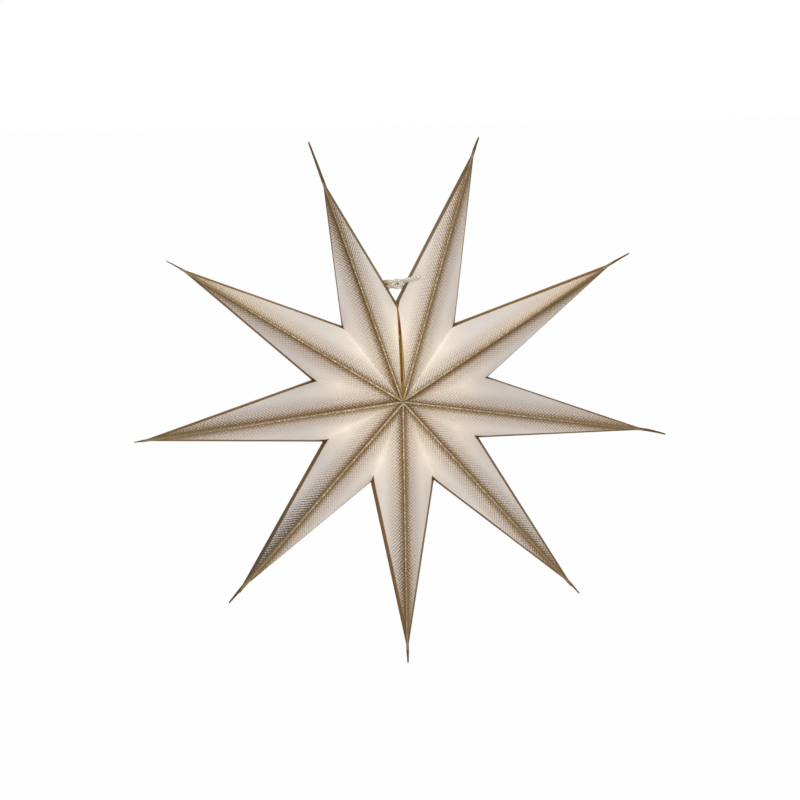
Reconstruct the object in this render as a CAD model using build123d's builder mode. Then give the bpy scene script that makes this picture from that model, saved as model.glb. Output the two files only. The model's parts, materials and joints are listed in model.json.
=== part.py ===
# Fan-fold paper star lantern with nine points, hung on the lampholder inside it.
# Millimetres, +Z up, the front faces -Y, the origin is the mouth of the cord inlet.
import os
from math import atan2, cos, hypot, radians, sin, tan

from build123d import *

os.makedirs("parts", exist_ok=True)

# Star, seen from the front
point_count = 9
tip_radius = 300.0
notch_radius = 102.2
seam_notch_radius = 99.0
half_depth = 80.0
seam_pitch = 36.8
# Flat glued tail at each tip, clockwise from the right of the seam
tail_lengths = [14.0, 21.0, 23.0, 13.0, 13.0, 17.0, 8.0, 17.0, 45.0]
tail_end_height = 2.4

# Paper
paper = 0.45
flange_height = 2.2
flange_root = 1.0
valley_gap = 0.3
seam_gap = 3.0
trim_margin = 2.0

# Stiff cards along the free edges of the first and last leaf
card_thickness = 0.8
card_width = 10.0
card_foot = 16.0
card_clearance = 0.3
seat_clearance = 0.3

# Cotton tie across the seam
tie_diameter = 3.6
tie_hole_clearance = 0.6
tie_hole_from_notch = 20.0
tie_end_inside = 3.0
knot_width = 16.0
knot_depth = 11.0
knot_height = 10.0
knot_round = 3.5
tie_lie_gap = 0.3
tail_forward = 2.7
tail_above = 3.0
tail_crease_lift = 2.6
tail_bend_share = 0.45
# Height up the outer crease where each tail goes over it, then its end: height and depth inside
right_tail_over = 33.0
right_tail_end = (40.4, 6.2)
left_tail_over = 29.0
left_tail_end = (31.0, 1.5)

# Lampholder, small Edison screw
inlet_radius = 3.5
inlet_length = 9.0
nipple_radius = 5.0
nipple_length = 6.0
shoulder_radius = 13.0
shoulder_drop = 8.4
holder_wall = 1.6
cap_height = 28.0
shell_length = 28.0
spigot_length = 8.0
spigot_clearance = 0.15
shell_lip = 1.5
shell_mouth_radius = 8.6
block_flange = 3.0
block_length = 10.0
screw_shell_radius = 7.2
screw_shell_wall = 0.5
screw_shell_length = 21.0
contact_hole_radius = 3.5
contact_stem_radius = 1.4
contact_stem_clearance = 0.15
contact_head_radius = 2.6
contact_head = 1.5

# Bulb
contact_gap = 0.3
bulb_tip_radius = 2.3
bulb_tip_height = 1.2
insulator_height = 3.0
insulator_top_radius = 2.6
bulb_cap_radius = 6.9
bulb_cap_length = 18.0
bulb_cap_wall = 0.5
glass_wall = 1.0
glass_seat_clearance = 0.1
glass_seat = 4.0
neck_below_cap = 2.0
globe_radius = 22.5
neck_to_globe_centre = 24.0
stem_radius = 2.0
stem_foot = 2.0
stem_length = 18.0
filament_ring_radius = 6.5
filament_ring = 1.0
filament_length = 26.0
filament_radius = 0.6
filament_count = 4

# Where the two seam cards sit: a V that rests on the shoulder of the lampholder cap
edge_slope = hypot(1 / half_depth, 1 / seam_notch_radius)
card_inner_share = 1 - card_width * edge_slope
shoulder_height = seam_notch_radius * (
    card_inner_share - (shoulder_radius + seat_clearance) / half_depth
)
star_drop = shoulder_drop + shoulder_height
star_centre = Vector(0, 0, -star_drop)
middle_plane = Plane(star_centre, x_dir=(1, 0, 0), z_dir=(0, -1, 0))

# Azimuths run anticlockwise from +X, seen from the front
seam_azimuth = 90.0
pitch = (360 - seam_pitch) / (point_count - 1)
first_azimuth = seam_azimuth - seam_pitch / 2
azimuths = [first_azimuth - pitch * step for step in range(point_count)]


def outward(azimuth):
    return Vector(cos(radians(azimuth)), 0, sin(radians(azimuth)))


def around(azimuth):
    return outward(azimuth + 90)


def write(piece, name):
    piece.label = name
    export_step(piece, f"parts/{name}.step")


# Free outer crease of the leaf beside the seam: hand is 1 on the right and -1 on the left


def seam_crease(hand):
    number = 0 if hand > 0 else point_count - 1
    notch = star_centre + outward(seam_azimuth) * seam_notch_radius
    tip = star_centre + outward(azimuths[number]) * (tip_radius - tail_lengths[number])
    along = (tip - notch).normalized()
    inside = Vector(hand * along.Z, 0, -hand * along.X)
    return notch, along, inside


def tie_spot(hand, up, inside, front):
    notch, along, inward = seam_crease(hand)
    return notch + along * up + inward * inside + Vector(0, -hand * front, 0)


# Paper leaves: one creased sheet each, the left and the right half of a point held tip up


def make_leaf(index, hand):
    azimuth = azimuths[index]
    at_seam = (index == 0 and hand > 0) or (index == point_count - 1 and hand < 0)
    valley_azimuth = azimuth + hand * (seam_pitch if at_seam else pitch) / 2
    valley_radius = seam_notch_radius if at_seam else notch_radius
    half_gap = (seam_gap if at_seam else valley_gap) / 2
    hollow_end = tip_radius - tail_lengths[index]

    apex = star_centre + Vector(0, -half_depth, 0)
    tip = star_centre + outward(azimuth) * hollow_end
    notch = star_centre + outward(valley_azimuth) * valley_radius
    normal = (tip - apex).cross(notch - apex) * hand
    facet_plane = Plane(apex, x_dir=tip - apex, z_dir=normal)
    corners = [facet_plane.to_local_coords(spot) for spot in (apex, tip, notch)]

    ridge_plane = Plane(star_centre, x_dir=outward(azimuth), z_dir=around(azimuth) * hand)
    valley_plane = Plane(
        star_centre, x_dir=outward(valley_azimuth), z_dir=around(valley_azimuth) * -hand
    ).offset(half_gap)

    ridge_length = hypot(half_depth, hollow_end)
    rise = ridge_length / hollow_end
    run = ridge_length / half_depth
    flange = [
        (0, half_depth - flange_root * rise),
        (hollow_end - flange_root * run, 0),
        (hollow_end - flange_root * run, -trim_margin),
        (tip_radius, -trim_margin),
        (tip_radius, tail_end_height / 2),
        (hollow_end, flange_height * rise),
        (0, half_depth + flange_height * rise),
    ]

    with BuildPart() as leaf:
        with BuildSketch(facet_plane):
            with BuildLine():
                Polyline(*[(corner.X, corner.Y) for corner in corners], close=True)
            make_face()
            offset(amount=trim_margin, kind=Kind.INTERSECTION)
        extrude(amount=-paper)
        with BuildSketch(ridge_plane):
            with BuildLine():
                Polyline(*[(reach, -hand * front) for reach, front in flange], close=True)
            make_face()
        extrude(amount=paper)
        split(bisect_by=ridge_plane, keep=Keep.TOP)
        split(bisect_by=valley_plane, keep=Keep.TOP)
        split(bisect_by=middle_plane, keep=Keep.TOP)
        mirror(about=middle_plane)
        if at_seam:
            _, _, inward = seam_crease(hand)
            with Locations(Plane(tie_spot(hand, tie_hole_from_notch, 0, 0), z_dir=inward)):
                Cylinder(tie_diameter / 2 + tie_hole_clearance, knot_width, mode=Mode.SUBTRACT)
    return leaf.part


for index in range(point_count):
    write(make_leaf(index, 1), f"point_{index + 1}_left_leaf")
    write(make_leaf(index, -1), f"point_{index + 1}_right_leaf")


# Seam cards, each just inside the paper of its end leaf


def make_seam_card(hand):
    _, along, _ = seam_crease(hand)
    leaf_rise = (along.Z / seam_notch_radius) / (abs(along.X) * edge_slope)
    paper_face = seam_gap / 2 * leaf_rise - paper * hypot(1, leaf_rise)
    card_outer_share = 1 + (paper_face - card_clearance) * edge_slope
    foot_share = card_foot / seam_notch_radius
    outline = [
        (-half_depth * (card_outer_share - foot_share), card_foot),
        (0, seam_notch_radius * card_outer_share),
        (half_depth * (card_outer_share - foot_share), card_foot),
        (half_depth * (card_inner_share - foot_share), card_foot),
        (0, seam_notch_radius * card_inner_share),
        (-half_depth * (card_inner_share - foot_share), card_foot),
    ]
    card_side = star_centre + Vector(hand * seam_gap / 2, 0, 0)
    with BuildPart() as card:
        with BuildSketch(Plane(card_side, x_dir=(0, 1, 0), z_dir=(1, 0, 0))):
            with BuildLine():
                Polyline(*outline, close=True)
            make_face()
        extrude(amount=hand * card_thickness)
    return card.part


write(make_seam_card(1), "seam_card_right")
write(make_seam_card(-1), "seam_card_left")


# Cotton tie: a knot over the notch, a cord into the hole of each end leaf, and two tails


def knot_height_above(hand):
    hole = tie_spot(hand, tie_hole_from_notch, 0, 0)
    _, _, inward = seam_crease(hand)
    return hole.Z - inward.Z / inward.X * hole.X


knot_centre = Vector(0, 0, max(knot_height_above(1), knot_height_above(-1)))
cord_start = knot_width / 4

with BuildPart() as tie_knot:
    with Locations(knot_centre):
        Box(knot_width, knot_depth, knot_height)
    fillet(tie_knot.edges(), radius=knot_round)
write(tie_knot.part, "tie_knot")


def make_tie_cord(hand):
    hole = tie_spot(hand, tie_hole_from_notch, 0, 0)
    inner_end = tie_spot(hand, tie_hole_from_notch, tie_end_inside, 0)
    knot_end = knot_centre + Vector(hand * cord_start, 0, 0)
    with BuildPart() as cord:
        with BuildLine():
            Polyline(knot_end, hole, inner_end)
        with BuildSketch(Plane(knot_end, z_dir=hole - knot_end)):
            Circle(tie_diameter / 2)
        sweep(transition=Transition.ROUND)
    return cord.part


# A tail goes over the outer crease and lies on the face of its leaf, just clear of the paper


def make_tie_tail(hand, crease_height, end_height, end_inside):
    notch, along, inward = seam_crease(hand)
    to_apex = star_centre + Vector(0, -hand * half_depth, 0) - notch
    face_normal = along.cross(to_apex).normalized()
    lift = face_normal * (tie_diameter / 2 + tie_lie_gap)
    if lift.dot(inward) > 0:
        lift = lift * -1
    slope = half_depth / abs(to_apex.dot(inward))
    start = knot_centre + Vector(hand * cord_start, -hand * tail_forward, tail_above)
    over = tie_spot(hand, crease_height, 0, 0) + lift * tail_crease_lift
    end = tie_spot(hand, end_height, end_inside, end_inside * slope) + lift
    runs = [over - start, end - over]
    turn = radians(runs[0].get_angle(runs[1]))
    radius = tail_bend_share * min(run.length for run in runs) / tan(turn / 2)
    with BuildPart() as tail:
        with BuildLine():
            FilletPolyline(start, over, end, radius=radius)
        with BuildSketch(Plane(start, z_dir=runs[0])):
            Circle(tie_diameter / 2)
        sweep()
    return tail.part


write(make_tie_cord(1), "tie_cord_right")
write(make_tie_cord(-1), "tie_cord_left")
write(make_tie_tail(1, right_tail_over, *right_tail_end), "tie_tail_right")
write(make_tie_tail(-1, left_tail_over, *left_tail_end), "tie_tail_left")


# Lampholder


def turned(profile):
    with BuildPart() as piece:
        with BuildSketch(Plane.XZ):
            with BuildLine():
                Polyline(*profile, close=True)
            make_face()
        revolve(axis=Axis.Z)
    return piece.part


cap_bore = shoulder_radius - holder_wall
spigot_radius = cap_bore - spigot_clearance
shell_bore = spigot_radius - holder_wall
cap_roof = max(inlet_length, shoulder_drop + holder_wall)
write(
    turned(
        [
            (inlet_radius, 0),
            (nipple_radius, 0),
            (nipple_radius, -nipple_length),
            (shoulder_radius, -shoulder_drop),
            (shoulder_radius, -cap_height),
            (cap_bore, -cap_height),
            (cap_bore, -cap_roof),
            (inlet_radius, -inlet_length),
        ]
    ),
    "holder_cap",
)

spigot_top = -cap_height + spigot_length
shell_foot = -cap_height - shell_length
write(
    turned(
        [
            (shell_bore, spigot_top),
            (spigot_radius, spigot_top),
            (spigot_radius, -cap_height),
            (shoulder_radius, -cap_height),
            (shoulder_radius, shell_foot),
            (shell_mouth_radius, shell_foot),
            (shell_mouth_radius, shell_foot + shell_lip),
            (shell_bore, shell_foot + shell_lip),
        ]
    ),
    "holder_shell",
)

block_top = spigot_top + block_flange
block_foot = spigot_top - block_length
block_hole = contact_stem_radius + contact_stem_clearance
write(
    turned(
        [
            (block_hole, block_top),
            (spigot_radius, block_top),
            (spigot_radius, spigot_top),
            (shell_bore - spigot_clearance, spigot_top),
            (shell_bore - spigot_clearance, block_foot),
            (block_hole, block_foot),
        ]
    ),
    "contact_block",
)

screw_shell_outer = screw_shell_radius + screw_shell_wall
screw_shell_foot = block_foot - screw_shell_length
write(
    turned(
        [
            (contact_hole_radius, block_foot),
            (screw_shell_outer, block_foot),
            (screw_shell_outer, screw_shell_foot),
            (screw_shell_radius, screw_shell_foot),
            (screw_shell_radius, block_foot - screw_shell_wall),
            (contact_hole_radius, block_foot - screw_shell_wall),
        ]
    ),
    "screw_shell",
)

contact_foot = block_foot - contact_head
write(
    turned(
        [
            (0, block_top),
            (contact_stem_radius, block_top),
            (contact_stem_radius, block_foot),
            (contact_head_radius, block_foot),
            (contact_head_radius, contact_foot),
            (0, contact_foot),
        ]
    ),
    "centre_contact",
)

# Bulb
tip_top = contact_foot - contact_gap
tip_foot = tip_top - bulb_tip_height
insulator_foot = tip_foot - insulator_height
bulb_cap_foot = insulator_foot - bulb_cap_length
write(
    turned([(0, tip_top), (bulb_tip_radius, tip_top), (bulb_tip_radius, tip_foot), (0, tip_foot)]),
    "bulb_tip",
)
write(
    turned(
        [
            (0, tip_foot),
            (insulator_top_radius, tip_foot),
            (bulb_cap_radius, insulator_foot),
            (0, insulator_foot),
        ]
    ),
    "bulb_insulator",
)
write(
    turned(
        [
            (bulb_cap_radius - bulb_cap_wall, insulator_foot),
            (bulb_cap_radius, insulator_foot),
            (bulb_cap_radius, bulb_cap_foot),
            (bulb_cap_radius - bulb_cap_wall, bulb_cap_foot),
        ]
    ),
    "bulb_cap",
)

glass_top = bulb_cap_foot + glass_seat
neck_foot = bulb_cap_foot - neck_below_cap
neck_radius = bulb_cap_radius - bulb_cap_wall - glass_seat_clearance
globe_centre = bulb_cap_foot - neck_to_globe_centre


def bulb_outline(neck, globe, top):
    # The shoulder leaves the neck in a straight line that touches the globe
    away = atan2(neck, neck_foot - globe_centre)
    lean = away + radians(90) - atan2(globe, hypot(neck, neck_foot - globe_centre))
    touch = (globe * sin(lean), globe_centre + globe * cos(lean))
    return touch, [(0, globe_centre - globe), (0, top), (neck, top), (neck, neck_foot), touch]


with BuildPart() as bulb_glass:
    for neck, globe, top, mode in (
        (neck_radius, globe_radius, glass_top, Mode.ADD),
        (
            neck_radius - glass_wall,
            globe_radius - glass_wall,
            glass_top + glass_seat,
            Mode.SUBTRACT,
        ),
    ):
        touch, outline = bulb_outline(neck, globe, top)
        with BuildSketch(Plane.XZ):
            with BuildLine():
                Polyline(*outline)
                ThreePointArc(touch, (globe, globe_centre), (0, globe_centre - globe))
            make_face()
        revolve(axis=Axis.Z, mode=mode)
write(bulb_glass.part, "bulb_glass")

stem_foot_radius = neck_radius - glass_wall - glass_seat_clearance
write(
    turned(
        [
            (0, neck_foot + stem_foot),
            (stem_foot_radius, neck_foot + stem_foot),
            (stem_foot_radius, neck_foot),
            (stem_radius, neck_foot),
            (stem_radius, neck_foot - stem_length),
            (0, neck_foot - stem_length),
        ]
    ),
    "bulb_stem",
)

filament_top = neck_foot - stem_length + 2 * filament_ring
with BuildPart() as bulb_filament:
    with BuildSketch(Plane.XY.offset(filament_top)):
        Circle(filament_ring_radius)
        Circle(stem_radius + glass_seat_clearance, mode=Mode.SUBTRACT)
    extrude(amount=-filament_ring)
    with BuildSketch(Plane.XY.offset(filament_top)):
        with PolarLocations(filament_ring_radius - 2 * filament_radius, filament_count):
            Circle(filament_radius)
    extrude(amount=-filament_length)
    with BuildSketch(Plane.XY.offset(filament_top - filament_length)):
        Circle(filament_ring_radius)
    extrude(amount=filament_ring)
write(bulb_filament.part, "bulb_filament")

print("star centre at z", round(-star_drop, 2), "pitch", round(pitch, 2))
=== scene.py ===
import json
from math import cos, pi, radians, sin, sqrt

import bmesh
import bpy
from mathutils import Matrix, Vector, noise


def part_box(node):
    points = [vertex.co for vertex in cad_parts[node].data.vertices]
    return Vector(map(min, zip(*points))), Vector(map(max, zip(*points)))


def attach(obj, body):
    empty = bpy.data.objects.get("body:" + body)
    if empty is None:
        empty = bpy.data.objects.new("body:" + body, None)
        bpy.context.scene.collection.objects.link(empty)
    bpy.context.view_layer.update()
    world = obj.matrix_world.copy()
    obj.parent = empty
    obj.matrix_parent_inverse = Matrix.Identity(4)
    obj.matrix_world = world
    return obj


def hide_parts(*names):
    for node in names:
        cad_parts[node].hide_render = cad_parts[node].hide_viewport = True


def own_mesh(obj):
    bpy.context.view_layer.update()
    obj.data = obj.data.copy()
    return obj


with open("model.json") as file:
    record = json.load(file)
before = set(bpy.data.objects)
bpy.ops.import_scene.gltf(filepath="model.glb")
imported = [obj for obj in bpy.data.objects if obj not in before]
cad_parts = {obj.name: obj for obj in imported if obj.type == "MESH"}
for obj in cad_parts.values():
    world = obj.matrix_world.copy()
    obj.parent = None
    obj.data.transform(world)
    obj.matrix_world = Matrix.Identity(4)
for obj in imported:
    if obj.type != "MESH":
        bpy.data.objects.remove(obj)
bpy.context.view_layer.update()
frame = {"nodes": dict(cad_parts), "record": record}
scene = bpy.context.scene
scene.view_settings.view_transform = "Standard"
print("frame loaded,", len(frame["nodes"]), "nodes")

mm = 0.001
root = "lampholder_and_bottom_point"


# Shader sockets that can be used in sums


class Wire:
    def __init__(self, tree, socket=None):
        self.tree = tree
        self.socket = socket

    def make(self, kind, settings, links, out=0):
        node = self.tree.nodes.new(kind)
        for name, value in settings.items():
            setattr(node, name, value)
        for name, value in links.items():
            self.join(value, node.inputs[name])
        return Wire(self.tree, node.outputs[out])

    def join(self, value, socket):
        if isinstance(value, Wire):
            self.tree.links.new(value.socket, socket)
        elif isinstance(value, tuple) and len(value) == 3 and socket.type == "RGBA":
            socket.default_value = (*value, 1)
        else:
            socket.default_value = value

    def other(self, out):  # another output of the same node
        return Wire(self.tree, self.socket.node.outputs[out])

    def sum(self, operation, *terms):
        return self.make("ShaderNodeMath", {"operation": operation}, dict(enumerate(terms)))

    def __add__(self, other):
        return self.sum("ADD", self, other)

    __radd__ = __add__

    def __sub__(self, other):
        return self.sum("SUBTRACT", self, other)

    def __rsub__(self, other):
        return self.sum("SUBTRACT", other, self)

    def __mul__(self, other):
        return self.sum("MULTIPLY", self, other)

    __rmul__ = __mul__

    def top(self, other):  # the larger of two values
        return self.sum("MAXIMUM", self, other)

    def wave(self):
        return self.sum("SINE", self)

    def held(self):  # kept between 0 and 1
        return self.make("ShaderNodeClamp", {}, {0: self})

    def fade(self, low, high, atLow=0.0, atHigh=1.0):
        return self.make(
            "ShaderNodeMapRange",
            {"interpolation_type": "SMOOTHSTEP"},
            {"Value": self, "From Min": low, "From Max": high, "To Min": atLow, "To Max": atHigh},
        )

    def tint(self, under, over):  # colour under where the value is 0, over where it is 1
        return self.make("ShaderNodeMix", {"data_type": "RGBA"}, {0: self, 6: under, 7: over}, 2)


def newFinish(name):
    material = bpy.data.materials.new(name)
    material.use_nodes = True
    return material, Wire(material.node_tree), material.node_tree.nodes["Principled BSDF"]


def dress(wire, shader, **values):  # sets or links the shader's own sockets
    for name, value in values.items():
        words = "".join(" " + c if c.isupper() else c for c in name).strip()
        wire.join(value, shader.inputs[words[0].upper() + words[1:]])


def uvMap(wire, name):
    return wire.make("ShaderNodeUVMap", {"uv_map": name}, {})


def split(wire, spot):  # the first two values of a vector
    first = wire.make("ShaderNodeSeparateXYZ", {}, {0: spot})
    return first, first.other(1)


def grain(wire, at, scale, detail=2.0, roughness=0.5):
    links = {"Vector": at, "Scale": scale, "Detail": detail, "Roughness": roughness}
    return wire.make("ShaderNodeTexNoise", {}, links)


def bump(wire, height, distance, strength=1.0):
    return wire.make(
        "ShaderNodeBump", {}, {"Height": height, "Distance": distance, "Strength": strength}
    )


# Printed paper: gold along the ridge, hatched fade beside it, a gold line on the outer crease
paperLook = {
    "bare": (0.705, 0.648, 0.596),
    # painted light coming through the paper near the valley
    "warm": (0.850, 0.780, 0.690),
    # painted highlight: a bright band along the valley fold
    "fold": (0.930, 0.880, 0.810),
    "cloud": (0.630, 0.575, 0.545),
    "grey": (0.600, 0.552, 0.525),  # painted shade: paper of a leaf that is less lit
    "gold": (0.190, 0.095, 0.016),
    # darker gold, for painted shade
    "deepGold": (0.088, 0.043, 0.009),
    "lightGold": (0.450, 0.272, 0.090),
    "richGold": (0.560, 0.385, 0.190),  # painted reflection: print on a leaf whose gold catches the light
    "hatch": (0.270, 0.161, 0.065),
    "shade": (0.075, 0.047, 0.024),  # painted shade: print on a leaf whose gold catches little light
    "band": (1.5, 12.5),  # mm from the ridge over which the full gold thins out
    "haze": (10.0, 42.0),  # and the dashes beyond it
    "rows": (0.255, 0.25),  # dashes for each mm along and across
    "drift": 0.7,  # how far the rows wander, in rows
    "glowColour": (1.0, 0.84, 0.60),
    "glow": 0.075,
    "seamGlow": 0.085,
    "specular": 0.25,
}


def makePrintedPaper(look):
    material, wire, shader = newFinish("printedPaper")
    sheet = uvMap(wire, "sheet")
    along, across = split(wire, sheet)
    toCrease, toValley = split(wire, uvMap(wire, "edges"))
    tone, leafLight = split(wire, uvMap(wire, "tone"))

    fleck = grain(wire, sheet, 0.8, 3.0, 0.65)
    cloud = grain(wire, sheet, 0.035, 3.0, 0.55)
    fibre = grain(wire, sheet, 0.6, 4.0, 0.65)
    drift = grain(wire, sheet, 0.16, 2.0, 0.5)
    grit = grain(wire, sheet, 0.4, 2.0, 0.6)

    # slanting rows of short dashes
    rowsAlong, rowsAcross = look["rows"]
    wander = along * rowsAlong + (drift - 0.5) * look["drift"]
    lines = ((wander - across * rowsAcross) * (2 * pi)).wave()
    dashes = ((wander + across * 0.03) * (2 * pi)).wave()

    # how much ink there is, most beside the ridge and towards the tip
    # painted shade on the print of leaves with a negative value, towards the tip; the ink there
    # changes too
    shadedPrint = (tone * -1).fade(0.0, 1.0) * along.fade(85, 185)
    ink = across.fade(*look["band"], 0.34, 0.0)
    ink = ink + across.fade(*look["haze"], 0.44, 0.0) * along.fade(100, 220, 1.0, 1.12)
    ink = ink + across.fade(1.0, 6.0, 0.41, 0.0) * along.fade(30, 155, 0.42, 1.0)
    ink = ink + shadedPrint * across.fade(4.0, 13.0, -0.10, 0.13) * across.fade(14.0, 34.0, 1.0, 0.0)
    ink = ink + shadedPrint * along.fade(150, 230, 0.0, 0.09)
    patches = lines * (shadedPrint * 0.1 + 0.26) + dashes * 0.11
    patches = patches + (fleck - 0.5) * 0.9 + (grit - 0.5) * across.fade(4, 20, 1.5, 0.9)
    hatch = (ink + patches * ink.fade(0.0, 0.6, 0.25, 0.92)).held()
    crease = (toCrease + (fleck - 0.5) * 0.16).fade(0.82, 1.12, 1.0, 0.0)
    gold = (hatch * across.fade(6, 16, 1.0, 0.0)).top(crease)

    # bare paper, with painted light: warmer where light comes through near the valley
    lightThroughAt = toValley.fade(2, 48, 1.0, 0.0) * along.fade(70, 165, 1.0, 0.0)
    # painted highlight along the valley fold
    foldLightAt = toValley.fade(0, 9, 1.0, 0.0) * along.fade(90, 135, 1.0, 0.0)
    paper = lightThroughAt.tint(look["bare"], look["warm"])
    paper = (foldLightAt * 0.6).tint(paper, look["fold"])
    paper = (cloud.fade(0.35, 0.7) * 0.22).tint(paper, look["cloud"])
    # painted shade: greyer paper on the leaves listed as less lit, away from the warm zone
    paper = ((leafLight * -1).held() * (1 - lightThroughAt)).tint(paper, look["grey"])

    # print over it
    # painted reflection on the print of leaves with a positive value
    reflectedPrint = tone.fade(0.0, 1.0) * along.fade(60, 180)
    hatchTone = reflectedPrint.tint(shadedPrint.tint(look["hatch"], look["shade"]), look["richGold"])
    printed = hatch.tint(paper, hatchTone)
    # painted shade: gold darker beside the crest and towards the tip
    deep = across.fade(2.0, 6.0, 0.7, 0.0) * along.fade(40, 160, 0.6, 1.0)
    deep = deep + along.fade(60, 200, 0.0, 0.3)
    goldTone = deep.tint(look["gold"], look["deepGold"])
    glint = (fleck * 0.6 + grit * 0.4).fade(0.45, 0.72)
    goldTone = (glint * (1 - crease * 0.55)).tint(goldTone, look["lightGold"])
    # painted shade: the crease line darker on the leaves with the most painted glow
    goldTone = (crease * leafLight.fade(0.6, 0.9, 0.0, 0.55)).tint(goldTone, look["deepGold"])
    # painted shade on the gold of those leaves, less on the crease line
    shadedGold = shadedPrint * (1 - crease * along.fade(130, 240, 0.85, 0.1))
    goldTone = shadedGold.tint(goldTone, look["shade"])
    goldTone = (reflectedPrint * 0.6 * (1 - crease)).tint(goldTone, look["richGold"])
    colour = gold.tint(printed, goldTone)

    # painted glow where light comes through the paper
    glowAt = toValley.fade(0, 46, 1.0, 0.0) * along.fade(40, 150, 1.0, 0.0) * (1 - gold)
    seamGlow = leafLight.top(0.0) * (1 - hatch) * along.fade(20, 60) * look["seamGlow"]
    glow = (glowAt * look["glow"] + seamGlow).tint((0, 0, 0), look["glowColour"])
    shader.inputs["Specular IOR Level"].default_value = look["specular"]
    dress(
        wire,
        shader,
        BaseColor=colour,
        Roughness=gold * -0.28 + 0.72 + (fibre - 0.5) * 0.15,
        Metallic=gold * 0.7,
        EmissionColor=glow,
        EmissionStrength=1.0,
        Normal=bump(wire, fibre + gold * 0.6, 0.00012),
    )
    return material


# painted light: the paper's inside is warm tan and glows, as if lit through the paper
insideLook = {
    "dark": (0.64, 0.54, 0.34),
    "light": (0.70, 0.60, 0.40),
    "glowColour": (0.50, 0.37, 0.13),
    "glow": 0.2,
}


def makePaperInside(look):
    material, wire, shader = newFinish("paperInside")
    sheet = uvMap(wire, "sheet")
    fibre = grain(wire, sheet, 0.6, 4.0, 0.65)
    cloud = grain(wire, sheet, 0.04, 2.0)
    dress(
        wire,
        shader,
        BaseColor=cloud.fade(0.3, 0.7).tint(look["dark"], look["light"]),
        Roughness=0.85,
        EmissionColor=look["glowColour"],
        EmissionStrength=look["glow"],
        Normal=bump(wire, fibre, 0.0001),
    )
    return material


# Pressed ridge: the glued fold, a lighter line with glitter in it; its crown carries a painted
# highlight and painted glints, its sides painted shade
crestLook = {
    "pale": (0.285, 0.196, 0.088),
    "deep": (0.160, 0.100, 0.037),
    "spark": (0.82, 0.73, 0.54),
    "middle": (0.44, 0.33, 0.18),  # paler towards the middle of the star
    "apex": (0.50, 0.44, 0.34),
}


def makeCrestFoil(look):
    material, wire, shader = newFinish("crestFoil")
    along, rise = split(wire, uvMap(wire, "sheet"))
    place = wire.make("ShaderNodeCombineXYZ", {}, {0: along, 1: rise * 2.0, 2: 0.0})
    fleck = grain(wire, place, 0.72, 2.0, 0.65)
    patch = grain(wire, place, 0.2, 1.0, 0.5)
    crown = rise.fade(0.35, 0.75)
    # painted highlight on the crown, painted shade on the sides
    colour = (crown * patch.fade(0.3, 0.6, 0.5, 1.0)).tint(look["deep"], look["pale"])
    colour = (along.fade(10, 110, 0.45, 0.0) * crown).tint(colour, look["middle"])
    # glitter in the ink, its glints painted
    glitterGlint = fleck.fade(0.54, 0.66) * crown * along.fade(215, 258, 1.0, 0.25)
    colour = glitterGlint.tint(colour, look["spark"])
    colour = along.fade(110, 240, 0.0, 0.5).tint(colour, look["deep"])
    colour = along.fade(1.0, 4.5, 0.5, 0.0).tint(colour, look["apex"])
    dress(
        wire,
        shader,
        BaseColor=colour,
        Metallic=0.45,
        Roughness=fleck.fade(0.35, 0.7, 0.62, 0.35),
        Normal=bump(wire, fleck, 0.0003),
    )
    return material


paperFinish = makePrintedPaper(paperLook)
insideFinish = makePaperInside(insideLook)
crestFinish = makeCrestFoil(crestLook)
print("paper finishes made")

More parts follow.
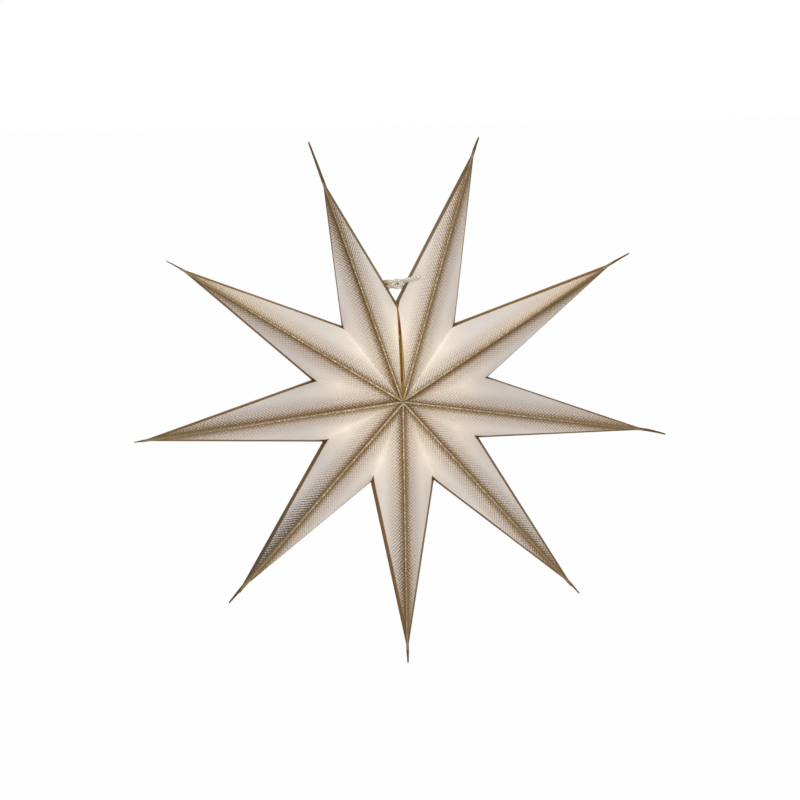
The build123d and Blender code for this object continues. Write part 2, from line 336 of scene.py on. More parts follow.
# Star, in mm
star = {
    "centre": Vector(frame["record"]["behaviour"]["joints"][0]["pos_m"]) / mm,
    "points": 9,
    "tipRadius": 300.0,
    "notchRadius": 102.2,
    "seamNotchRadius": 105.0,
    "halfDepth": 80.0,
    "seamPitch": 36.8,
    "tails": [14.0, 21.0, 23.0, 13.0, 13.0, 17.0, 8.0, 17.0, 45.0],
    "tailRoot": 8.0,  # how far a tail reaches back into its point
    "tailThick": (1.6, 0.88),  # half sizes at its start and its end
    "tailHigh": (2.4, 1.2),
    "tailLean": [-0.9, -1.0, -1.9, -0.2, 0.0, -0.2, 0.0, 0.4, 0.4],  # mm sideways at the end
    "tailSize": [0.95, 0.78, 0.9, 0.72, 0.9, 0.9, 0.55, 0.55, 1.08],
    # how far each point and notch has settled round the axis, in degrees; the seam comes first
    "tipTurn": [0.48, -0.48, -0.15, 0.5, 0.62, -0.15, -0.45, -0.12, 0.17],
    "notchTurn": [1.45, 0.3, -0.4, -0.2, 0.4, 0.5, 0.4, -0.2, 0.1],
    "notchSettle": [0.0, 1.5, 2.3, 2.4, 0.0, 0.0, 1.9, 2.3, 0.9],  # mm nearer to the axis
    "creaseLine": [  # mm of gold beside each outer crease, left and right leaf of each point
        (7.2, 3.2), (6.2, 2.1), (3.9, 5.2), (5.8, 5.2), (5.8, 8.6),
        (2.0, 7.9), (5.4, 5.8), (5.9, 5.0), (3.0, 6.2),
    ],
    "seamSwell": (0.4, -0.2),  # mm that the leaf right and left of the seam bows into it
    "seamOpen": {  # mm that a leaf's edge moves to the right at the apex and more at the notch
        (1, 1): (8.3, 0.0), (1, -1): (-4.0, 6.6), (-1, 1): (0.8, 0.0), (-1, -1): (-0.4, 0.0),
    },
    "printShift": [  # mm that the print's band is wider beside the ridge, left and right leaf
        (-2.2, -0.5), (-5.5, 3.0), (-3.2, 0.9), (-2.4, 0.6), (-1.2, 0.4),
        (3.0, -2.4), (-0.3, -0.4), (0.6, -3.9), (2.2, -5.2),
    ],
    "printLightAndShade": [  # painted reflection where positive and painted shade where negative on each leaf's print, left and right leaf
        (-0.2, -0.2), (0.85, 0.0), (-0.15, -0.2), (-0.35, -0.2), (-0.2, -0.35),
        (-0.15, -0.8), (-0.2, -0.3), (-0.2, 0.62), (-0.45, -0.45),
    ],
    "leafLight": [  # painted glow where positive and painted shade where negative, left and right leaf
        (0.9, -0.1), (0.0, -0.25), (-0.8, 0.0), (0.15, 0.0), (0.15, 0.0),
        (0.0, -0.5), (-0.5, -0.5), (-0.9, -0.1), (-0.2, 0.55),
    ],
    # mm that each ridge leans to the left, seen from the axis
    "crestLean": [0.4, 0.7, -0.9, -1.6, -0.5, 1.8, 0.9, 0.5, 0.9],
    "paper": 0.45,
    "creaseRound": 0.8,
    "creaseFade": (9, 14, 40),  # from the valley, of the leaf's width and from the crease itself
    "waves": [(55, 30, 0, 0.7), (22, 14, 5, 0.3)],  # length, width, layer of the noise, height
    "calmWidth": 30,  # a leaf narrower than this has lower waves
    "stations": 44,
    "columns": 14,
    "columnSpread": 1.8,  # more than 1 puts the columns closer to the outer crease
    "sharpAngle": 55,
    "foldedShare": 0.055,
}
pitch = (360 - star["seamPitch"]) / (star["points"] - 1)
front = Vector((0, -1, 0))
paperSlot, insideSlot, crestSlot = 0, 1, 2


def outward(azimuth):
    return Vector((cos(radians(azimuth)), 0, sin(radians(azimuth))))


def smooth(x):
    x = min(1.0, max(0.0, x))
    return x * x * (3 - 2 * x)


def squareTo(line, run):  # direction of a line less its share along run
    return (line - run * line.dot(run)).normalized()


def ofLeaf(name, number, hand):  # a leaf's own value, from a list by points
    return star[name][number - 1][0 if hand > 0 else 1]


def leafPlan(number, hand):  # the corners and directions of one leaf
    azimuth = 90 - star["seamPitch"] / 2 - pitch * (number - 1)
    atSeam = (number == 1 and hand > 0) or (number == star["points"] and hand < 0)
    side = azimuth + hand * (star["seamPitch"] if atSeam else pitch) / 2
    notchNumber = (number - 1 if hand > 0 else number) % star["points"]
    side += star["notchTurn"][notchNumber]
    azimuth += star["tipTurn"][number - 1]
    reach = star["tipRadius"] - star["tails"][number - 1]
    centre = star["centre"]
    apex = centre + front * star["halfDepth"]
    tip = centre + outward(azimuth) * reach
    notchReach = star["seamNotchRadius"] if atSeam else star["notchRadius"]
    notch = centre + outward(side) * (notchReach - star["notchSettle"][notchNumber])
    along = (tip - apex).normalized()
    across = squareTo(notch - apex, along)
    creaseRun = (notch - tip).normalized()
    return {
        "atSeam": atSeam, "reach": reach, "apex": apex, "tip": tip, "notch": notch,
        "along": along, "across": across, "creaseRun": creaseRun,
        "inward": squareTo(apex - tip, creaseRun),
        "fromValley": squareTo(tip - apex, (notch - apex).normalized()),
        "length": (tip - apex).length, "creaseLength": (notch - tip).length,
        "notchAt": (notch - apex).dot(along), "width": (notch - apex).dot(across),
        "out": outward(azimuth), "around": outward(azimuth + 90) * hand,
    }


def leafSpot(plan, number, hand, s, d, wide, facing):
    # a spot on the front face, s along the ridge and d beside it
    spot = plan["apex"] + plan["along"] * s + plan["across"] * d
    toCrease = max(0.0, (spot - plan["tip"]).dot(plan["inward"]))
    toValley = max(0.0, (spot - plan["apex"]).dot(plan["fromValley"]))
    share = d / wide if wide > 0 else 0

    # rounding of the outer crease
    atValley, atWidth, atCrease = star["creaseFade"]
    flat = Vector((plan["inward"].x, 0, plan["inward"].z))
    depth = toCrease * flat.length
    flat.normalize()
    soft = star["creaseRound"] * smooth(toValley / atValley) * smooth(wide / atWidth)
    rounded = sqrt(depth**2 + soft**2) - depth - soft
    moved = spot + flat * rounded * (1 - smooth(toCrease / atCrease))

    # waves, none at the edges
    normal = plan["along"].cross(plan["across"]).normalized() * -hand
    seed = Vector((number * 7.3, hand * 3.1, 0))
    calm = 4 * share * (1 - share) * min(1, wide / star["calmWidth"])
    for long, broad, layer, high in star["waves"]:
        swell = noise.noise(Vector((s / long, d / broad, layer)) + seed) * high
        moved += normal * swell * calm

    # open seam
    if plan["atSeam"] and s < plan["notchAt"]:
        t = s / plan["notchAt"]
        atApex, more = star["seamOpen"][(facing, hand)]
        moved.x += (atApex + more * t) * sqrt(t * (1 - t)) * share**2
    if plan["atSeam"]:
        up = max(0.0, (plan["notch"] - spot).dot(plan["creaseRun"]) / plan["creaseLength"])
        bow = star["seamSwell"][0 if hand > 0 else 1]
        moved -= flat * bow * 4 * up * max(0, 1 - up) * share**2
    return moved, toCrease / ofLeaf("creaseLine", number, hand), toValley


def leafRow(plan, row, atNotch):  # how far along the ridge a row lies, and the width there
    notchAt, length = plan["notchAt"], plan["length"]
    if row < atNotch:
        s = notchAt * row / atNotch
        return s, plan["width"] * s / notchAt
    beyond = (row - atNotch) / (star["stations"] - atNotch)
    s = notchAt + (length - notchAt) * beyond
    return s, plan["width"] * (length - s) / (length - notchAt)


def addSheet(plan, number, hand, spots, marks, faces, finishes):
    # front and back face, which share the outer crease
    rows, columns = star["stations"], star["columns"]
    shift = ofLeaf("printShift", number, hand)
    atNotch = round(rows * plan["notchAt"] / plan["length"])  # this row ends in the notch's corner
    grids = []
    for facing in (1, -1):
        grid = []
        for row in range(rows + 1):
            s, wide = leafRow(plan, row, atNotch)
            line = []
            for column in range(columns + 1):
                if facing < 0 and column == columns and row >= atNotch:
                    line.append(grids[0][row][column])
                    continue
                d = wide * (1 - (1 - column / columns) ** star["columnSpread"])
                spot, toCrease, toValley = leafSpot(plan, number, hand, s, d, wide, facing)
                spot.y *= facing
                line.append(len(spots))
                spots.append(spot)
                marks.append((s, d - shift, toCrease, toValley))
            grid.append(line)
        grids.append(grid)
        for row in range(rows):
            for column in range(columns):
                a, b = grid[row][column], grid[row][column + 1]
                c, e = grid[row + 1][column + 1], grid[row + 1][column]
                face = [a, b, c, e] if facing * hand < 0 else [e, c, b, a]
                if row == 0:
                    face = [i for i in face if i != b]
                if row == rows - 1:
                    face = [i for i in face if i != c]
                faces.append(face)
                finishes.append(paperSlot)


def addInside(spots, marks, faces, finishes):
    # inner side, one paper thickness in, and the cut edges
    shell = bpy.data.meshes.new("shell")
    shell.from_pydata(spots, [], faces)
    outer, count = len(faces), len(spots)
    sides = {}
    for face in faces:
        sides.update(dict.fromkeys(zip(face, face[1:] + face[:1])))
    for index in range(count):
        spots.append(spots[index] - shell.vertices[index].normal * star["paper"])
        marks.append(marks[index])
    for face in faces[:outer]:
        faces.append([i + count for i in reversed(face)])
        finishes.append(insideSlot)
    for a, b in sides:
        if (b, a) not in sides:
            faces.append([b, a, a + count, b + count])
            finishes.append(insideSlot)
    bpy.data.meshes.remove(shell)


def makeLeaf(number, hand):
    plan = leafPlan(number, hand)
    name = f"point_{number}_{'left' if hand > 0 else 'right'}_leaf"
    spots, marks, faces, finishes = [], [], [], []
    addSheet(plan, number, hand, spots, marks, faces, finishes)
    addInside(spots, marks, faces, finishes)
    addCrest(plan, number, hand, spots, marks, faces, finishes)
    addTail(plan, number, hand, spots, marks, faces, finishes)

    mesh = bpy.data.meshes.new(name + "Paper")
    mesh.from_pydata([spot * mm for spot in spots], [], faces)
    sheet = mesh.uv_layers.new(name="sheet")
    edges = mesh.uv_layers.new(name="edges")
    tone = mesh.uv_layers.new(name="tone")
    leafTone = (ofLeaf("printLightAndShade", number, hand), ofLeaf("leafLight", number, hand))
    for loop in mesh.loops:
        mark = marks[loop.vertex_index]
        sheet.data[loop.index].uv = mark[:2]
        edges.data[loop.index].uv = mark[2:]
        tone.data[loop.index].uv = leafTone
    for finish in (paperFinish, insideFinish, crestFinish):
        mesh.materials.append(finish)
    for polygon, finish in zip(mesh.polygons, finishes):
        polygon.material_index = finish
        polygon.use_smooth = True
    mesh.set_sharp_from_angle(angle=radians(star["sharpAngle"]))
    leaf = bpy.data.objects.new(name + "Paper", mesh)
    scene.collection.objects.link(leaf)
    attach(leaf, root if number == 5 else f"point_{number}")
    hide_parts(name)
    tuple(plan["around"])
    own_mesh(leaf)
    return leaf


# Half of the pressed ridge: sideways and upward steps from the ridge line, in mm
crestShape = [(1.12, -1.3), (1.10, -0.2), (0.98, 0.8), (0.62, 1.4), (0.0, 1.55)]
crestLift = 0.02
crestNarrowing = 0.35  # mm of width for each mm from the axis, where the ridges meet


def addCrest(plan, number, hand, spots, marks, faces, finishes):
    lean = star["crestLean"][number - 1] * hand
    up = front * plan["along"].dot(plan["out"]) - plan["out"] * plan["along"].dot(front)
    rows, wide = star["stations"] * 2, len(crestShape)
    for facing in (1, -1):
        first = len(spots)
        for row in range(rows + 1):
            s = plan["length"] * row / rows
            fromAxis = s * plan["reach"] / plan["length"]
            room = min(1.0, fromAxis * crestNarrowing / crestShape[0][0])
            for step, (aside, rise) in enumerate(crestShape):
                tilt = lean * max(0.0, rise) / crestShape[-1][1]
                spot = plan["apex"] + plan["along"] * s
                spot = spot + plan["around"] * (aside + tilt) * room + up * (rise + crestLift)
                spot.y *= facing
                spots.append(spot)
                marks.append((s, step / (wide - 1), 0, 0))
        for row in range(rows):
            for step in range(wide - 1):
                a = first + row * wide + step
                face = [a, a + wide, a + wide + 1, a + 1]
                faces.append(face if facing * hand < 0 else face[::-1])
                finishes.append(crestSlot)


# Half of a tail's section: shares of its thickness and height
tailShape = [(0, -1), (0.8, -0.96), (1, -0.75), (1, 0), (1, 0.75), (0.8, 0.96), (0, 1)]
tailSteps = 16


def addTail(plan, number, hand, spots, marks, faces, finishes):
    # half of the flat glued tail, a little bent
    long = star["tails"][number - 1]
    lean = star["tailLean"][number - 1]
    size = star["tailSize"][number - 1]
    start, end = plan["reach"] - star["tailRoot"], star["tipRadius"]
    first, wide = len(spots), len(tailShape)
    for step in range(tailSteps + 1):
        reach = start + (end - start) * step / tailSteps
        t = max(0.0, (reach - plan["reach"]) / long)
        thick, high = [
            size * (atStart + (atEnd - atStart) * t)
            for atStart, atEnd in (star["tailThick"], star["tailHigh"])
        ]
        if step == tailSteps:
            thick, high = thick * 0.6, high * 0.7  # worn end
        bend = plan["around"] * hand * lean * t**1.5
        for aside, rise in tailShape:
            spot = star["centre"] + plan["out"] * reach + plan["around"] * aside * thick
            spots.append(spot + bend + front * rise * high)
            marks.append((plan["length"] + reach - plan["reach"], 2.0 + aside, 0.3, 99))
    for step in range(tailSteps):
        for k in range(wide - 1):
            a = first + step * wide + k
            face = [a, a + wide, a + wide + 1, a + 1]
            faces.append(face if hand < 0 else face[::-1])
            finishes.append(paperSlot)
    last = first + tailSteps * wide
    face = [last + k for k in range(wide)]
    faces.append(face if hand > 0 else face[::-1])
    finishes.append(paperSlot)


numbers = range(1, star["points"] + 1)
leaves = [makeLeaf(number, hand) for number in numbers for hand in (1, -1)]
print("leaves made,", len(leaves))

# Cotton tie: two twisted cords in a reef knot, in mm from the knot's middle
tie = {
    "radius": 2.75,
    "around": 24,
    "strands": 3,
    "groove": 0.24,  # depth between the strands, as a share of the radius
    "lay": 12.0,  # mm for one turn of a strand
    "fray": (0.14, 16.0),  # how much fuller the free end is, and over how many mm
    "cotton": (0.74, 0.69, 0.60),
    "yarn": (0.58, 0.50, 0.39),
    # painted shade in the grooves between the strands
    "deep": (0.40, 0.31, 0.20),
    "shaded": (0.34, 0.23, 0.11),  # where the left loop lies against the paper
    "shadedFrom": (-12.5, -8.0),
    "left": [
        (-12.6, 0.0, -7.2), (-12.8, 1.8, -3.6), (-10.8, 2.4, -0.7), (-7.0, 2.4, 0.2),
        (-2.8, 0.9, 0.2), (0.0, -2.0, -0.9), (2.4, -2.9, -0.5), (3.7, -2.9, 2.3),
        (2.4, -2.9, 5.1), (0.0, -2.0, 5.7), (-2.8, 0.9, 4.6), (-6.4, 2.3, 3.9),
        (-10.5, 2.6, 4.0), (-14.0, 3.2, 4.0), (-16.6, 4.4, 3.2),
    ],
    "right": [
        (12.1, 0.0, -6.8), (9.0, 0.6, -5.2), (6.6, 1.4, -2.6), (3.6, 2.5, -0.1),
        (0.5, 2.3, 0.2), (-2.2, -0.9, -0.9), (-4.4, -2.9, -0.5), (-5.7, -2.9, 2.3),
        (-4.4, -2.9, 5.1), (-2.2, -0.9, 5.7), (0.5, 2.3, 4.6), (4.0, 2.3, 4.5),
        (8.0, 0.6, 5.4), (12.0, -5.4, 7.0), (17.0, -11.6, 8.4), (21.5, -15.8, 9.9),
        (25.2, -18.2, 11.2),
    ],
}


def smoothLine(points):  # a route with its corners smoothed by a spline
    curve = bpy.data.curves.new("route", "CURVE")
    curve.dimensions = "3D"
    spline = curve.splines.new("NURBS")
    spline.points.add(len(points) - 1)
    for point, place in zip(spline.points, points):
        point.co = (*place, 1)
    spline.order_u = 3
    spline.use_endpoint_u = True
    spline.resolution_u = 14
    holder = bpy.data.objects.new("route", curve)
    mesh = bpy.data.meshes.new_from_object(holder)
    line = [vertex.co.copy() for vertex in mesh.vertices]
    bpy.data.objects.remove(holder)
    bpy.data.curves.remove(curve)
    bpy.data.meshes.remove(mesh)
    return line


def knotMiddle():
    low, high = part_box("tie_knot")
    return (Vector(low) + Vector(high)) / 2


def alongLine(line):  # each spot of a line with two directions square to it
    aside = (line[1] - line[0]).normalized().orthogonal().normalized()
    for index, spot in enumerate(line):
        ahead, behind = line[min(index + 1, len(line) - 1)], line[max(index - 1, 0)]
        forward = (ahead - behind).normalized()
        aside = squareTo(aside, forward)
        yield spot, aside, forward.cross(aside)


def tubeFaces(first, rings, around):  # the sides between rings of spots, then both ends
    faces = []
    for ring in range(rings - 1):
        start = first + ring * around
        for k in range(around):
            a, b = start + k, start + (k + 1) % around
            faces.append([a, b, b + around, a + around])
    last = first + (rings - 1) * around
    faces.append([first + k for k in range(around)][::-1])
    faces.append([last + k for k in range(around)])
    return faces


def makeCotton():
    material, wire, shader = newFinish("cottonTwist")
    _, strand = split(wire, uvMap(wire, "sheet"))
    place = wire.make("ShaderNodeTexCoord", {}, {}, "Object")
    fluff = grain(wire, place, 1400.0, 4.0, 0.7)
    yarn = grain(wire, place, 500.0, 2.0, 0.6)
    # painted shade in the grooves between the strands
    colour = strand.fade(0.0, 0.8).tint(tie["deep"], tie["cotton"])
    colour = (yarn.fade(0.35, 0.7) * 0.45).tint(colour, tie["yarn"])
    fromKnot = split(wire, place)[0] * (1 / mm) - knotMiddle().x / mm
    colour = fromKnot.fade(*tie["shadedFrom"], 0.75, 0.0).tint(colour, tie["shaded"])
    dress(
        wire, shader, BaseColor=colour, Roughness=0.9, SheenWeight=0.3,
        Normal=bump(wire, fluff, 0.0004, 0.7),
    )
    return material


def makeCordEnd(side, route, finish):
    middle = knotMiddle()
    line = [middle + Vector(place) * mm for place in smoothLine(route)]
    around, radius = tie["around"], tie["radius"] * mm
    fuller, frayLength = tie["fray"]
    spots, marks = [], []
    walked, before = 0.0, line[0]
    for spot, aside, upright in alongLine(line):
        walked += (spot - before).length
        before = spot
        twist = 2 * pi * walked / mm / tie["lay"]
        toEnd = min((spot - line[0]).length, (spot - line[-1]).length)
        close = sqrt(max(0.05, 1 - (1 - min(1.0, toEnd / radius)) ** 2))
        close *= 1 + fuller * (1 - smooth((line[-1] - spot).length / mm / frayLength))
        for k in range(around):
            angle = 2 * pi * k / around
            lobe = abs(cos(tie["strands"] / 2 * (angle - twist)))
            size = radius * close * (1 - tie["groove"] + tie["groove"] * lobe**0.7)
            spots.append(spot + aside * cos(angle) * size + upright * sin(angle) * size)
            marks.append((walked / mm, lobe))
    mesh = bpy.data.meshes.new(f"tie_{side}_twist")
    mesh.from_pydata(spots, [], tubeFaces(0, len(line), around))
    sheet = mesh.uv_layers.new(name="sheet")
    for loop in mesh.loops:
        sheet.data[loop.index].uv = marks[loop.vertex_index]
    mesh.materials.append(finish)
    for polygon in mesh.polygons:
        polygon.use_smooth = True
    cord = bpy.data.objects.new(f"tie_{side}_twist", mesh)
    scene.collection.objects.link(cord)
    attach(cord, "tie")
    return cord


cottonFinish = makeCotton()
leftCord = makeCordEnd("left", tie["left"], cottonFinish)
rightCord = makeCordEnd("right", tie["right"], cottonFinish)
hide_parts("tie_cord_left", "tie_tail_left", "tie_knot")
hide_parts("tie_cord_right", "tie_tail_right")
print("tie made")


# Finishes of the lamp and the seam cards


def plainFinish(name, colour, shade, rough, metal, scale, depth=0.00005, rings=0.0):
    material, wire, shader = newFinish(name)
    place = wire.make("ShaderNodeTexCoord", {}, {}, "Object")
    cloud = grain(wire, place, scale, 3.0, 0.6)
    fine = grain(wire, place, scale * 14, 2.0, 0.6)
    lines = fine
    if rings:  # fine turning marks
        height = wire.make("ShaderNodeSeparateXYZ", {}, {0: place}, 2)
        lines = (height * rings + cloud * 2).wave()
    dress(
        wire,
        shader,
        BaseColor=cloud.fade(0.3, 0.7).tint(colour, shade),
        Roughness=fine * 0.2 + lines * 0.03 + (rough - 0.1),
        Metallic=metal,
        Normal=bump(wire, fine + lines * 0.4, depth),
    )
    return material


# Colour, second colour, roughness, metal, grain, depth of the grain, turning marks
plainLooks = {
    "holderBrass": ((0.72, 0.50, 0.22), (0.62, 0.42, 0.17), 0.30, 1.0, 60, 0.00003, 9000),
    "contactBrass": ((0.70, 0.50, 0.24), (0.60, 0.42, 0.2), 0.35, 1.0, 90),
    "porcelain": ((0.78, 0.76, 0.71), (0.72, 0.70, 0.65), 0.3, 0.0, 50),
    "capSteel": ((0.66, 0.66, 0.65), (0.55, 0.55, 0.54), 0.26, 1.0, 90, 0.00002, 7000),
    "leadWire": ((0.60, 0.58, 0.55), (0.48, 0.46, 0.43), 0.35, 1.0, 200),
    "blackGlass": ((0.02, 0.02, 0.02), (0.035, 0.035, 0.035), 0.2, 0.0, 90),
    "cardStock": ((0.56, 0.37, 0.13), (0.62, 0.42, 0.16), 0.85, 0.0, 120, 0.0001),
    "phosphor": ((0.86, 0.56, 0.10), (0.92, 0.66, 0.18), 0.6, 0.0, 300),
    "clearGlass": ((0.98, 0.96, 0.92), (1.0, 0.98, 0.95), 0.04, 0.0, 40, 0.000001),
}
finishOf = {name: plainFinish(name, *look) for name, look in plainLooks.items()}
glassShader = finishOf["clearGlass"].node_tree.nodes["Principled BSDF"]
glassShader.inputs["Transmission Weight"].default_value = 1.0
glassShader.inputs["IOR"].default_value = 1.45

# Pieces out of sight keep their solids
carried = {
    "contact_block": "porcelain", "screw_shell": "contactBrass", "centre_contact": "contactBrass",
    "bulb_tip": "capSteel", "bulb_insulator": "blackGlass",
    "seam_card_left": "cardStock", "seam_card_right": "cardStock",
}
for node, finish in carried.items():
    solid = frame["nodes"][node]
    solid.data.materials.clear()
    solid.data.materials.append(finishOf[finish])

# Lamp: turned pieces, sizes in mm
lamp = {
    "shoulder": 13.0,
    "shoulderDrop": 8.4,  # from the top, as the next drops
    "nipple": (5.0, 6.0),  # radius and drop
    "inlet": (3.5, 9.0),
    "roofDrop": 10.0,
    "wall": 1.6,
    "collar": (0.15, 8.0),  # gap and height of the shell's collar inside the cap
    "mouth": (8.6, 1.5),  # radius and thickness of the lip
    "flutes": 40,
    "fluteDepth": 0.45,
    "fluteSteps": 240,
    "skirtThread": (2.6, 0.7),  # pitch and depth of the thread for a shade ring
    "capThread": (2.82, 0.55),  # pitch and depth of the small screw cap
    "capRadius": 6.9,
    "globe": 22.5,
    "glassWall": 1.0,
    "filaments": 4,
    "filamentRadius": 0.62,
    "filamentRing": 5.3,
    "clipRadius": 0.42,
    "leadRadius": 0.22,
    "mastRadius": 0.3,
}


def heights(node):  # top and foot of a node
    low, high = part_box(node)
    return high[2] / mm, low[2] / mm


def roundOff(profile, size):  # a closed outline with its corners eased
    outline = []
    for index, corner in enumerate(profile):
        before, after = Vector(profile[index - 1]), Vector(profile[(index + 1) % len(profile)])
        corner = Vector(corner)
        if corner.x < 0.01:
            outline.append(corner)
            continue
        reach = min(size, (before - corner).length * 0.45, (after - corner).length * 0.45)
        start = corner + (before - corner).normalized() * reach
        end = corner + (after - corner).normalized() * reach
        for t in (0.0, 0.25, 0.5, 0.75, 1.0):
            outline.append(start * (1 - t) ** 2 + corner * 2 * t * (1 - t) + end * t * t)
    return outline


def stepped(outline, longest):  # long runs divided for threads and flutes
    spread = []
    for index, spot in enumerate(outline):
        following = outline[(index + 1) % len(outline)]
        count = max(1, int((following - spot).length / longest))
        spread += [spot.lerp(following, k / count) for k in range(count)]
    return spread


def makeTurned(name, outline, finish, body, shape=None, around=96):
    area = sum(a.x * b.y - b.x * a.y for a, b in zip(outline, outline[1:] + outline[:1]))
    if area < 0:
        outline = outline[::-1]
    count = len(outline)
    spots, faces = [], []
    for turn in range(around):
        angle = 2 * pi * turn / around
        for spot in outline:
            reach = spot.x + (shape(spot.x, spot.y, angle) if shape else 0)
            spots.append(Vector((reach * cos(angle), reach * sin(angle), spot.y)) * mm)
    for turn in range(around):
        here, there = turn * count, (turn + 1) % around * count
        for k in range(count):
            m = (k + 1) % count
            if outline[k].x < 0.01 and outline[m].x < 0.01:
                continue
            faces.append([here + k, there + k, there + m, here + m])
    mesh = bpy.data.meshes.new(name)
    mesh.from_pydata(spots, [], faces)
    work = bmesh.new()
    work.from_mesh(mesh)
    bmesh.ops.remove_doubles(work, verts=work.verts, dist=1e-7)
    work.to_mesh(mesh)
    work.free()
    mesh.materials.append(finishOf[finish])
    for polygon in mesh.polygons:
        polygon.use_smooth = True
    piece = bpy.data.objects.new(name, mesh)
    scene.collection.objects.link(piece)
    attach(piece, body)
    return piece


def threadWave(height, angle, pitchOfThread):
    return 0.5 - 0.5 * cos(2 * pi * height / pitchOfThread - angle)


def makeHolder():
    top, foot = heights("holder_cap")
    shellFoot = heights("holder_shell")[1]
    wide, bore = lamp["shoulder"], lamp["shoulder"] - lamp["wall"]
    inlet, inletDrop = lamp["inlet"]
    nipple, nippleDrop = lamp["nipple"]
    cap = roundOff(
        [
            (inlet, top), (nipple, top), (nipple, top - nippleDrop),
            (wide, top - lamp["shoulderDrop"]), (wide, foot), (bore, foot),
            (bore, top - lamp["roofDrop"]), (inlet, top - inletDrop),
        ],
        0.7,
    )

    def flutes(reach, height, angle):
        if reach < wide - 0.4:
            return 0
        band = smooth((height - foot - 3) / 1.5) * smooth((top - 12.5 - height) / 1.5)
        return -lamp["fluteDepth"] * band * (0.5 - 0.5 * cos(lamp["flutes"] * angle)) ** 2

    piece = makeTurned(
        "holderCap", stepped(cap, 0.8), "holderBrass", root, flutes,
        lamp["fluteSteps"],
    )
    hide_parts("holder_cap")

    gap, collarTop = lamp["collar"][0], foot + lamp["collar"][1]
    collar = bore - gap
    inside = collar - lamp["wall"]
    mouth, lipTop = lamp["mouth"][0], shellFoot + lamp["mouth"][1]
    shell = roundOff(
        [
            (inside, collarTop), (collar, collarTop), (collar, foot), (wide, foot),
            (wide, shellFoot), (mouth, shellFoot), (mouth, lipTop), (inside, lipTop),
        ],
        0.6,
    )
    pitchOfThread, deep = lamp["skirtThread"]

    def thread(reach, height, angle):
        if reach < wide - 0.4:
            return 0
        band = smooth((foot - 5 - height) / 1.2) * smooth((height - shellFoot - 2.0) / 1.2)
        return -deep * band * threadWave(height, angle, pitchOfThread)

    piece = makeTurned(
        "holderShell", stepped(shell, 0.3), "holderBrass", root, thread
    )
    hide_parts("holder_shell")


def makeBulb():
    capTop, capFoot = heights("bulb_cap")
    glassTop, glassFoot = heights("bulb_glass")
    wide = lamp["capRadius"]
    inside = wide - 0.5
    pitchOfThread, deep = lamp["capThread"]
    cap = roundOff([(inside, capTop), (wide, capTop), (wide, capFoot), (inside, capFoot)], 0.2)

    def thread(reach, height, angle):
        band = smooth((capTop - 1.0 - height) / 1.0) * smooth((height - capFoot - 4.0) / 1.0)
        if reach > wide - 0.25:
            return -deep * band * threadWave(height, angle, pitchOfThread)
        return -deep * band

    piece = makeTurned("bulbCap", stepped(cap, 0.25), "capSteel", "bulb", thread)
    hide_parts("bulb_cap")

    # globe drawn out to the neck, outside and then back up inside
    centre, neck = glassFoot + lamp["globe"], wide - 0.6
    outline = []
    for inset, order in ((0.0, 1), (lamp["glassWall"], -1)):
        size, narrow = lamp["globe"] - inset, neck - inset
        side = [Vector((narrow, glassTop)), Vector((narrow, capFoot - 1.0))]
        for k in range(37):
            angle = pi * (0.20 + 0.80 * k / 36)
            side.append(Vector((size * sin(angle), centre + size * cos(angle))))
        side[-1].x = 0.0
        outline += side[::order]
    piece = makeTurned("bulbGlass", outline, "clearGlass", "bulb")
    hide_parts("bulb_glass")

    stemTop, stemFoot = heights("bulb_stem")
    rim = neck - 1.2
    flare = [(rim, stemTop), (rim, stemTop - 2.0), (3.4, stemTop - 3.6), (2.0, stemTop - 7.0)]
    rod = [(1.9, stemFoot + 4.0), (1.5, stemFoot + 1.6), (0.8, stemFoot + 0.3), (0.0, stemFoot)]
    stem = [Vector(spot) for spot in [(0.0, stemTop)] + flare + rod]
    piece = makeTurned("bulbStem", stem, "clearGlass", "bulb")
    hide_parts("bulb_stem")

    makeFilaments(stemFoot)


# Place along a filament and share of its full radius
filamentShape = [
    (0.05, 0.3), (0.06, 0.7), (0.08, 0.95), (0.12, 1.0), (0.5, 1.0), (0.88, 1.0),
    (0.92, 0.95), (0.94, 0.7), (0.95, 0.3),
]


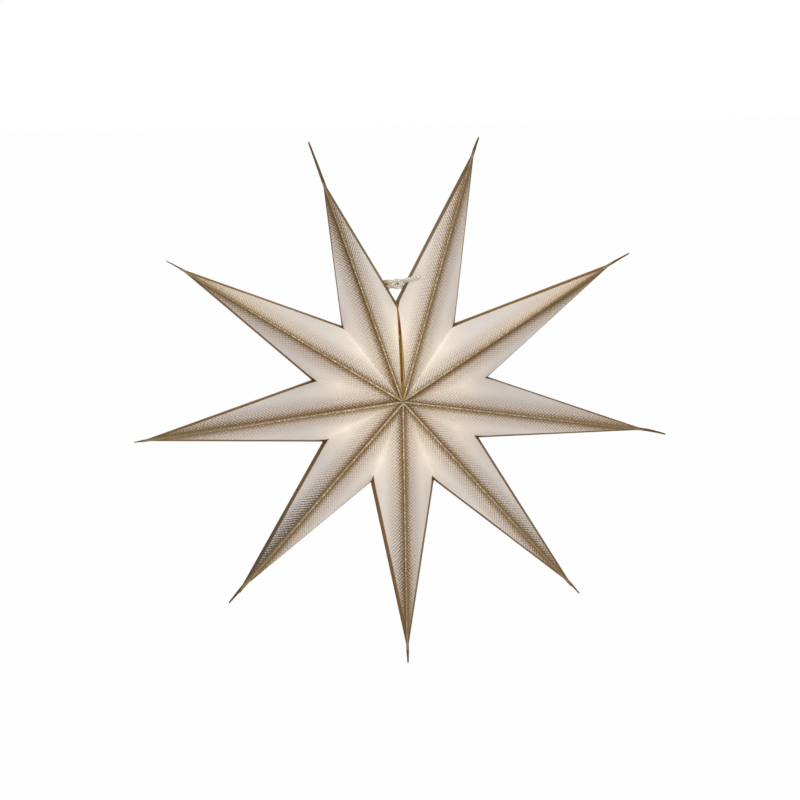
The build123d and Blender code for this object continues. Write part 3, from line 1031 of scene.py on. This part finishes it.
def makeFilaments(stemFoot):
    top, foot = heights("bulb_filament")
    ring, stick = lamp["filamentRing"], lamp["filamentRadius"]
    glowing, metal = 0, 1
    spots, faces, finishes = [], [], []

    def tube(line, sizes, finish, sides=14):
        first = len(spots)
        for (spot, aside, upright), size in zip(alongLine(line), sizes):
            for k in range(sides):
                angle = 2 * pi * k / sides
                spots.append(spot + (aside * cos(angle) + upright * sin(angle)) * size)
        added = tubeFaces(first, len(line), sides)
        faces.extend(added)
        finishes.extend([finish] * len(added))

    upperLead = [(1.6, top - 0.4), (3.0, top - 0.15), (4.5, top - 0.25), (ring, top - 1.3)]
    lowerLead = [(ring, foot + 1.3), (4.5, foot + 0.35), (3.0, foot + 0.3), (0.6, foot + 0.5)]
    for number in range(lamp["filaments"]):
        angle = 2 * pi * number / lamp["filaments"]
        out = Vector((cos(angle), sin(angle), 0))
        high = out * ring + Vector((0, 0, top - 1.2))
        low = out * ring + Vector((0, 0, foot + 1.2))
        body = [high.lerp(low, t) for t, _ in filamentShape]
        tube(body, [share * stick for _, share in filamentShape], glowing)
        tube([high, high.lerp(low, 0.055)], [lamp["clipRadius"]] * 2, metal)
        tube([low.lerp(high, 0.055), low], [lamp["clipRadius"]] * 2, metal)
        for lead in (upperLead, lowerLead):
            line = smoothLine([out * r + Vector((0, 0, z)) for r, z in lead])
            tube(line, [lamp["leadRadius"]] * len(line), metal, 8)
    mast = [Vector((0, 0, stemFoot + 3.0)), Vector((0, 0, foot + 0.5))]
    tube(mast, [lamp["mastRadius"]] * 2, metal, 10)

    mesh = bpy.data.meshes.new("bulbFilaments")
    mesh.from_pydata([spot * mm for spot in spots], [], faces)
    mesh.materials.append(finishOf["phosphor"])
    mesh.materials.append(finishOf["leadWire"])
    for polygon, finish in zip(mesh.polygons, finishes):
        polygon.material_index = finish
        polygon.use_smooth = True
    mesh.set_sharp_from_angle(angle=radians(50))
    piece = bpy.data.objects.new("bulbFilaments", mesh)
    scene.collection.objects.link(piece)
    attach(piece, "bulb")
    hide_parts("bulb_filament")


makeHolder()
makeBulb()
print("lamp made")

# Studio
studio = {
    "floor": -1.25,
    "floorHalf": 30.0,
    "floorColours": ((0.80, 0.80, 0.80), (0.84, 0.84, 0.84)),
    "floorWhite": (0.85, 1.05),  # share and strength of plain white where the floor is seen
    "worldLight": 0.757,
    "aim": (0, 0, -0.075),
    "lamps": [  # place, size, watts, colour
        ((-1.2, -0.7, -0.7), 0.9, 3.0, (1.0, 0.98, 0.95)),
        ((1.2, -0.7, -0.7), 0.9, 3.6, (1.0, 0.98, 0.95)),
        ((-0.3, -0.7, -0.7), 0.6, 2.2, (1.0, 0.98, 0.95)),
        ((-0.4, -1.4, 1.2), 1.2, 1.2, (1.0, 0.985, 0.96)),
        ((0.0, -0.65, 0.5), 0.5, 2.2, (0.96, 0.98, 1.0)),
        ((0.0, 1.6, 1.3), 1.6, 9, (1.0, 1.0, 1.0)),
    ],
}


def seenRays(wire):  # 1 for rays of the camera, also in gloss or through glass
    camera = wire.make("ShaderNodeLightPath", {}, {}, "Is Camera Ray")
    glossy, passing = camera.other("Is Glossy Ray"), camera.other("Is Transmission Ray")
    return camera.top(glossy).top(passing)


def makeBackground():
    world = bpy.data.worlds.new("studio")
    scene.world = world
    world.use_nodes = True
    world.node_tree.nodes.clear()
    wire = Wire(world.node_tree)
    strength = seenRays(wire) * (1 - studio["worldLight"]) + studio["worldLight"]
    sky = wire.make("ShaderNodeBackground", {}, {"Color": (1, 1, 1), "Strength": strength})
    end = world.node_tree.nodes.new("ShaderNodeOutputWorld")
    wire.join(sky, end.inputs["Surface"])


def makeFloor():
    mesh = bpy.data.meshes.new("floor")
    half, level = studio["floorHalf"], studio["floor"]
    sides = [(-half, -half), (half, -half), (half, half), (-half, half)]
    corners = [(x, y, level) for x, y in sides]
    mesh.from_pydata(corners, [], [[0, 1, 2, 3]])
    floor = bpy.data.objects.new("floor", mesh)
    scene.collection.objects.link(floor)
    material, wire, shader = newFinish("paleFloor")
    place = wire.make("ShaderNodeTexCoord", {}, {}, "Object")
    colour = grain(wire, place, 0.8).fade(0.3, 0.7).tint(*studio["floorColours"])
    dress(wire, shader, BaseColor=colour, Roughness=0.9)
    share, strength = studio["floorWhite"]
    white = wire.make("ShaderNodeEmission", {}, {"Color": (1, 1, 1), "Strength": strength})
    lit = Wire(wire.tree, shader.outputs[0])
    mixed = wire.make("ShaderNodeMixShader", {}, {0: seenRays(wire) * share, 1: lit, 2: white})
    wire.tree.links.new(mixed.socket, wire.tree.nodes["Material Output"].inputs["Surface"])
    mesh.materials.append(material)


def makeLamps():
    for number, (place, size, watts, colour) in enumerate(studio["lamps"]):
        data = bpy.data.lights.new(f"softbox{number}", "AREA")
        data.size = size
        data.energy = watts
        data.color = colour
        softbox = bpy.data.objects.new(f"softbox{number}", data)
        softbox.location = place
        aim = Vector(studio["aim"]) - Vector(place)
        softbox.rotation_euler = aim.to_track_quat("-Z", "Y").to_euler()
        scene.collection.objects.link(softbox)


# Camera, a little above and to the left of the star's axis
lens = {
    "aside": 2.6,  # degrees, as the next two
    "above": 5.0,
    "roll": 1.12,
    "away": 8.0,
    "sensor": 36.0,
    "pixels": 800,
    "perPixel": 1.112,  # mm
    "at": (399.9, 395.2),  # the star's centre in the picture
}


def makeCamera():
    data = bpy.data.cameras.new("camera")
    data.sensor_width = lens["sensor"]
    data.lens = lens["sensor"] * lens["away"] / mm / (lens["pixels"] * lens["perPixel"])
    data.clip_start, data.clip_end = 0.1, 200
    camera = bpy.data.objects.new("camera", data)
    scene.collection.objects.link(camera)
    aside, above, roll = radians(lens["aside"]), radians(lens["above"]), radians(lens["roll"])
    back = Vector((-sin(aside) * cos(above), -cos(aside) * cos(above), sin(above)))
    across = Vector((0, 0, 1)).cross(back).normalized()
    upright = back.cross(across)
    rolledUp = upright * cos(roll) + across * sin(roll)
    rolledAcross = across * cos(roll) - upright * sin(roll)
    step, middle = lens["perPixel"] * mm, lens["pixels"] / 2
    aim = star["centre"] * mm
    aim = aim + rolledAcross * (middle - lens["at"][0]) * step
    aim = aim - rolledUp * (middle - lens["at"][1]) * step
    turn = Matrix((rolledAcross, rolledUp, back)).transposed().to_4x4()
    camera.matrix_world = Matrix.Translation(aim + back * lens["away"]) @ turn
    scene.camera = camera


makeBackground()
makeFloor()
makeLamps()
makeCamera()
print("studio made")
